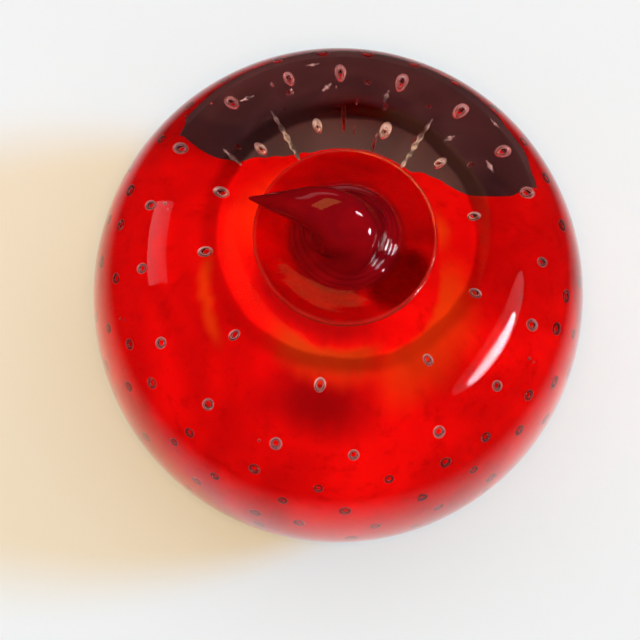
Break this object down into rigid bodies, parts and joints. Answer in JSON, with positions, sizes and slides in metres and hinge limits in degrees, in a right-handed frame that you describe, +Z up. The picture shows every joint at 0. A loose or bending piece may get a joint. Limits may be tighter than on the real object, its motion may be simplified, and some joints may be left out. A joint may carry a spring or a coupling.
{
  "type": "art glass apple",
  "caption": "Solid art glass apple: a ruby core cased in clear glass with rows of trapped air bubbles, a ground flat base and an applied, twisted stem that curls to a point.",
  "frame": {"origin": "centre of the flat ground base, on the surface that the apple stands on", "axes": "+Z up along the apple's axis, -Y towards the viewer of the picture, -X the way the stem's tip points"},
  "size_m": [0.084, 0.084, 0.0818],
  "materials": {
    "core_glass": "dense ruby red glass",
    "clear_glass": "clear, fire polished",
    "stem_glass": "deep ruby red glass, fire polished"
  },
  "bodies": {
    "root": {"ruby_core": "core_glass", "bubble_gather": "clear_glass", "clear_casing": "clear_glass", "stem": "stem_glass"}
  },
  "joints": []
}
